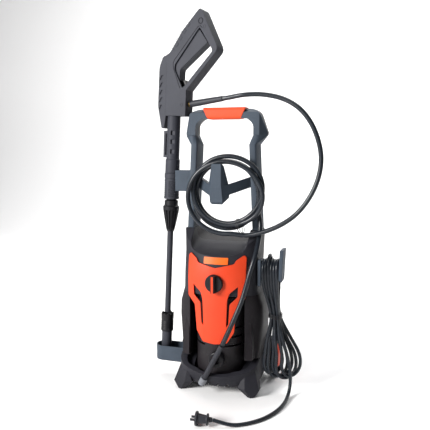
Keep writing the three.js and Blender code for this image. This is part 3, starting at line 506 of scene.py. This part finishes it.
def hank_over_hook(k):
    """Loop k up the back of the hook, over it and down the front to the tie."""
    x = HOOK_X + HOOK_PITCH * k
    z = HOOK_TOP_Z + (0.014 if k == HIGH_LOOP else 0.002 * (k % 2))
    column, row = tie_crossing(k)
    return [
        (x, HANK_BACK - 0.002, NECK_Z), (x, HANK_BACK, SHOULDER_Z), (x, HANK_Y + ARCH_HALF, z - ARCH_DROP),
        (x, HANK_Y, z), (x, HANK_Y - ARCH_HALF, z - ARCH_DROP), (x, HANK_FRONT, SHOULDER_Z),
        (x + 0.001, HANK_FRONT + 0.002, NECK_Z), (column, HANK_Y - 0.0130 + row, HANK_TIE_Z),
    ]


def hank_below_tie(k):
    """Fold k from the tie down its left side, round the bottom and up its right side."""
    left, right, low = FOLDS[k]
    middle = (left + right) / 2
    column, _ = tie_crossing(k)
    front = HANK_Y - 0.020 + 0.003 * (k % 3)
    back = HANK_Y + 0.018 - 0.003 * (k % 2)
    return [
        (left + 0.45 * (column - left), front, 0.150), (left + 0.002, front, 0.105),
        (left, front, low + 0.030), (left + 0.007, front + 0.004, low + 0.010),
        (middle, (front + back) / 2, low), (right - 0.007, back - 0.004, low + 0.010),
        (right, back, low + 0.030), (right - 0.004, back, 0.105),
        (right - 0.55 * (right - column), back, 0.155),
    ]


def make_cord():
    route = list(CORD_LEAD)
    for k in range(LOOPS):
        if k:
            column, row = tie_crossing(k)
            route.append((column, HANK_Y + 0.0045 + row, HANK_TIE_Z))
        route += hank_over_hook(k)
        if k < LOOPS - 1:
            route += hank_below_tie(k)
    route += CORD_FREE
    points = eased(smooth_route([at(*p) for p in route], ROUTE_STEP), CORD_EASING)
    cord = cord_curve("mains_cord", points, CORD_D, RUBBER)
    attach(cord, "machine")
    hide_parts("cord_lead", "cord_hank", "cord_free_run")
    return cord


# ------------------------------------------------------------------ ties
COIL_TIE_ANGLE = math.radians(-68)
COIL_TIE_CENTRE = (0.018, 0.533)       # x and z
COIL_TIE_OFFSETS = (0.0, 0.05)         # radians between the wire's two rounds
COIL_TIE_R = 0.0009
# Section of the wire round the coil's strands: distance from the coil's centre, y.
COIL_TIE_SECTION = [
    (0.074, -0.074), (0.074, -0.048), (0.084, -0.0375), (0.098, -0.0375), (0.1085, -0.050),
    (0.1085, -0.074), (0.098, -0.0850), (0.084, -0.0850),
]
COIL_TIE_TAIL = [
    (0.054, -0.0855, 0.445), (0.058, -0.089, 0.440), (0.062, -0.087, 0.434), (0.068, -0.090, 0.436),
]
# Plan of the tie round the hank: x, y.
HANK_TIE_PLAN = [
    (0.1345, -0.046), (0.1375, -0.0665), (0.150, -0.0700), (0.1625, -0.0665), (0.1665, -0.046),
    (0.1625, -0.0285), (0.150, -0.0250), (0.1375, -0.0285),
]
HANK_TIE_ROUNDS = 3
HANK_TIE_R = 0.0012
HANK_TIE_BOTTOM = 0.208
HANK_TIE_PITCH = 0.0038
HANK_TIE_RIPPLE = 0.002                # each round rises and falls by this much
HANK_TIE_RIPPLE_RATE = 100.0           # radians per metre of x


def closed_band(name, points, radius, material):
    """A thin closed wire or ring through the points, on the machine."""
    curve = bpy.data.curves.new(name, "CURVE")
    curve.dimensions = "3D"
    curve.bevel_depth = radius
    curve.bevel_resolution = 2
    spline = curve.splines.new("BEZIER")
    spline.bezier_points.add(len(points) - 1)
    for knot, p in zip(spline.bezier_points, points):
        knot.co = p
        knot.handle_left_type = knot.handle_right_type = "AUTO"
    spline.use_cyclic_u = True
    curve.materials.append(material)
    obj = bpy.data.objects.new(name, curve)
    bpy.context.scene.collection.objects.link(obj)
    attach(obj, "machine")


def open_line(name, points, radius, material):
    """A fine line, straight from point to point, on the machine."""
    obj = cord_curve(name, points, radius * 2, material)
    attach(obj, "machine")


def make_ties():
    cx, cz = COIL_TIE_CENTRE
    for k, offset in enumerate(COIL_TIE_OFFSETS):
        c, s = math.cos(COIL_TIE_ANGLE + offset), math.sin(COIL_TIE_ANGLE + offset)
        points = [at(cx + r * c, y, cz + r * s) for r, y in COIL_TIE_SECTION]
        closed_band(f"coil_tie_{k + 1}", points, COIL_TIE_R, TIE)
    open_line("coil_tie_tail", [at(*p) for p in COIL_TIE_TAIL], COIL_TIE_R, TIE)
    for k in range(HANK_TIE_ROUNDS):
        z = HANK_TIE_BOTTOM + HANK_TIE_PITCH * k
        points = [at(x, y, z + HANK_TIE_RIPPLE * math.sin(HANK_TIE_RIPPLE_RATE * x))
                  for x, y in HANK_TIE_PLAN]
        closed_band(f"hank_tie_{k + 1}", points, HANK_TIE_R, TIE)


# ------------------------------------------------------------------ turned details of the lance
NUT_SIDES = 96
NUT_PANEL = 24                         # sides in one panel of rungs and its margins
NUT_MARGIN = 3
NUT_R = 0.0215
RUNG_PITCH = 0.0028
RUNG_DEPTH = 0.0016
RUNG_LOW, RUNG_HIGH = -0.224, -0.178
CONE_SIDES = 84
FIN_SIDES = 6                          # sides from one fin to the next
FIN_LOW, FIN_HIGH = -0.314, -0.260
FIN_VALLEY = 0.80                      # radius between two fins, as a share of theirs
COLLAR_SIDES = 96
COLLAR_R = 0.0180
GROOVE_PITCH = 0.0026
GROOVE_DEPTH = 0.0010
GROOVES_LOW, GROOVES_HIGH = -0.606, -0.580
SCALLOP_SIDES = 12                     # sides in one scallop
SCALLOP_DEPTH = 0.0045
SCALLOPS_FROM = -0.5635


def lathe_in_gun(name, node, rows, sides, material, body, carve):
    """Turned piece on the gun's axis: rows of (radius, height), each point shaped by carve."""
    mesh = bpy.data.meshes.new(name)
    bm = bmesh.new()
    rings = []
    for row_r, row_h in rows:
        ring = []
        for i in range(sides):
            t = 2 * math.pi * i / sides
            r, h = carve(i, row_r, row_h)
            ring.append(bm.verts.new(in_gun(r * math.cos(t), r * math.sin(t), h)))
        rings.append(ring)
    for low, high in zip(rings, rings[1:]):
        for i in range(sides):
            j = (i + 1) % sides
            bm.faces.new((low[i], low[j], high[j], high[i]))
    bm.faces.new(list(reversed(rings[0])))
    bm.faces.new(rings[-1])
    bm.to_mesh(mesh)
    bm.free()
    mesh.materials.append(material)
    obj = bpy.data.objects.new(name, mesh)
    bpy.context.scene.collection.objects.link(obj)
    add_nodes(obj, SMOOTHED)
    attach(obj, body)
    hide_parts(node)


def ladder_panels(i, r, h):
    """Sunk rungs in four panels round the bayonet nut."""
    panel = (i % NUT_PANEL) in range(NUT_MARGIN, NUT_PANEL - NUT_MARGIN)
    rung = panel and r > 0.021 and RUNG_LOW < h < RUNG_HIGH and int(-h / RUNG_PITCH) % 2 == 0
    return (r - RUNG_DEPTH if rung else r), h


def long_fins(i, r, h):
    """Fins along the cone, with half of each step round it cut down to a valley."""
    valley = (i % FIN_SIDES) in (2, 3, 4) and FIN_LOW < h < FIN_HIGH
    return (r * FIN_VALLEY if valley else r), h


def grooves_and_scallops(i, r, h):
    """Rings cut round the collar, and scallops in its upper rim."""
    scallop = SCALLOP_DEPTH * abs(math.sin(math.pi * i / SCALLOP_SIDES)) if h > SCALLOPS_FROM else 0.0
    groove = GROOVES_LOW < h < GROOVES_HIGH and int((h - GROOVES_LOW) / GROOVE_PITCH) % 2 == 1
    return (r - GROOVE_DEPTH if groove else r), h - scallop


def make_lance_details():
    nut = [(0.0200, -0.229), (NUT_R, -0.227)]
    nut += [(NUT_R, -0.2252 + RUNG_PITCH / 2 * k) for k in range(36)]
    nut += [(0.0199, -0.1738), (0.0199, -0.1715), (NUT_R, -0.1708), (NUT_R, -0.158), (0.0200, -0.1563)]
    lathe_in_gun("bayonet_nut_ribbed", "bayonet_nut", nut, NUT_SIDES, GUN, "lance_nut",
                 ladder_panels)

    cone = [(0.0105, -0.320), (0.0120, -0.3145), (0.0122, -0.3135), (0.0158, -0.296), (0.0192, -0.278),
            (0.0222, -0.2612), (0.0225, -0.2595), (0.0230, -0.250), (0.0190, -0.247), (0.0190, -0.234),
            (0.0140, -0.231), (0.0140, -0.2293)]
    lathe_in_gun("lance_cone_finned", "lance_cone", cone, CONE_SIDES, BLACK, "machine",
                 long_fins)

    collar = [(0.0170, -0.611), (COLLAR_R, -0.609)]
    collar += [(COLLAR_R, -0.6065 + GROOVE_PITCH / 2 * k) for k in range(21)]
    collar += [(COLLAR_R, -0.575), (COLLAR_R, -0.565), (COLLAR_R, -0.559), (0.0172, -0.5563),
               (0.0150, -0.5563), (0.0150, -0.5660)]
    lathe_in_gun("nozzle_collar_grooved", "nozzle_collar", collar, COLLAR_SIDES, BLACK,
                 "spray_collar", grooves_and_scallops)


# ------------------------------------------------------------------ lines on the gun's side
GUN_FACE = -0.01862                    # v of the gun's outer side
WAVE_START, WAVE_END = Vector((0.059, 0.2495)), Vector((0.001, 0.1655))
WAVE_TEETH = 5
WAVE_DEPTH = 0.0125
WAVE_R = 0.0006
# Rings on the gun's side: name, centre u and h, radius, wire radius. They are a little taller than wide.
RINGS = [
    ("gun_hang_ring", 0.0845, 0.2455, 0.0062, 0.0011),
    ("gun_screw_ring_high", 0.0965, 0.2300, 0.0036, 0.0003),
    ("gun_screw_ring_low", 0.0345, 0.0300, 0.0034, 0.0003),
]
RING_STRETCH = 1.15
RING_POINTS = 8
PLATE_EDGE = [
    (0.0900, 0.2270), (0.0840, 0.2330), (0.0770, 0.2310), (0.0060, 0.1480), (0.0030, 0.1390),
    (0.0040, 0.1280), (0.0270, 0.0740),
]
PLATE_EDGE_R = 0.0008


def make_gun_details():
    span = (WAVE_END - WAVE_START).length
    along = (WAVE_END - WAVE_START).normalized()
    across = Vector((along.y, -along.x))
    wave = []
    for k in range(WAVE_TEETH):
        for share, side in ((0.0, 0.0), (0.0, 1.0), (0.5, 1.0), (0.5, 0.0)):
            p = WAVE_START + along * (span / WAVE_TEETH * (k + share)) + across * (WAVE_DEPTH * side)
            wave.append(in_gun(p.x, GUN_FACE, p.y))
    open_line("gun_wave_line", wave, WAVE_R, GROOVE)
    for name, u, h, r, thick in RINGS:
        turns = [2 * math.pi * k / RING_POINTS for k in range(RING_POINTS)]
        ring = [in_gun(u + r * math.cos(t), GUN_FACE, h + r * RING_STRETCH * math.sin(t)) for t in turns]
        closed_band(name, ring, thick, GROOVE)
    plate = [in_gun(u, GUN_FACE, h) for u, h in PLATE_EDGE]
    open_line("gun_plate_edge", plate, PLATE_EDGE_R, GROOVE)


make_camera()
make_lights()
make_floor()
hose = make_hose()
cord = make_cord()
dress()
make_ties()
make_lance_details()
make_gun_details()
